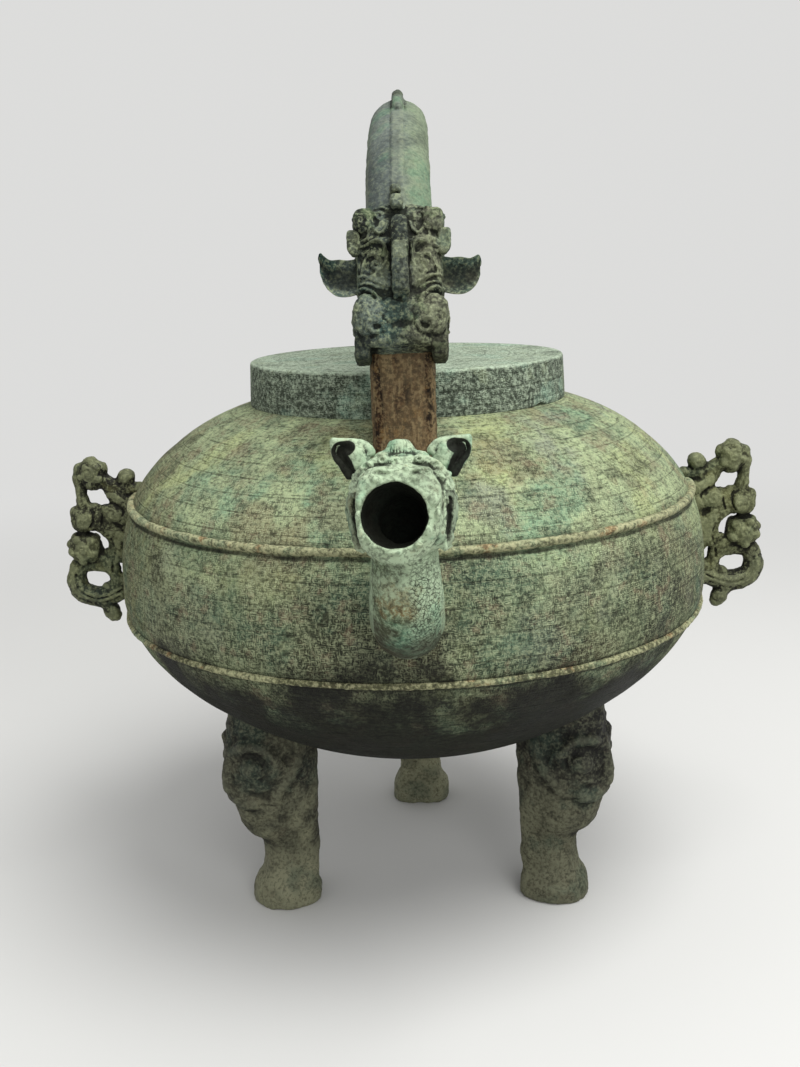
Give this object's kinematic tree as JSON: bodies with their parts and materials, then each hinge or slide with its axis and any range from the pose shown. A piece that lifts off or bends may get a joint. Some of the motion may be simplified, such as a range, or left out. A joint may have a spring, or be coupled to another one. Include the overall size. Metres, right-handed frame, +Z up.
{
  "type": "bronze he pouring vessel",
  "caption": "Patinated bronze tripod pouring vessel with a lift-off lid, an arched dragon handle, a beast-head spout and openwork dragon fins.",
  "frame": {"origin": "on the surface that it stands on, under the middle of its outline; the vessel's own axis is about 8 mm behind it", "axes": "+Z up, -Y along the spout, +X to the right for someone who faces the spout"},
  "size_m": [0.2838, 0.2993, 0.3129],
  "materials": {
    "vessel_patina": "matte green patina",
    "lid_patina": "matte green patina",
    "dragon_patina": "dark green patina",
    "post_bronze": "bare brown bronze",
    "spout_patina": "pale green patina",
    "leg_patina": "grey-green patina",
    "fin_patina": "dark olive patina"
  },
  "bodies": {
    "vessel": {"body_shell": "vessel_patina", "handle_post": "post_bronze", "handle_arch": "dragon_patina", "handle_head": "dragon_patina", "handle_ear_left": "dragon_patina", "handle_ear_right": "dragon_patina", "handle_horn_left": "dragon_patina", "handle_horn_right": "dragon_patina", "spout_neck": "spout_patina", "spout_head": "spout_patina", "spout_ear_left": "spout_patina", "spout_ear_right": "spout_patina", "leg_left": "leg_patina", "leg_right": "leg_patina", "leg_rear": "leg_patina", "fin_left": "fin_patina", "fin_right": "fin_patina", "fin_rear": "fin_patina"},
    "lid": {"lid_shell": "lid_patina", "lid_loop": "lid_patina"},
    "lid_ring": {"lid_ring": "lid_patina"}
  },
  "joints": [
    {"name": "lid_lift", "type": "slide", "parent": "vessel", "child": "lid", "axis": [0, 0, 1], "range_m": [0, 0.034]},
    {"name": "ring_swing", "type": "hinge", "parent": "lid", "child": "lid_ring", "pos_m": [0, 0.0084, 0.215], "axis": [1, 0, 0], "range_deg": [0, 180]}
  ]
}
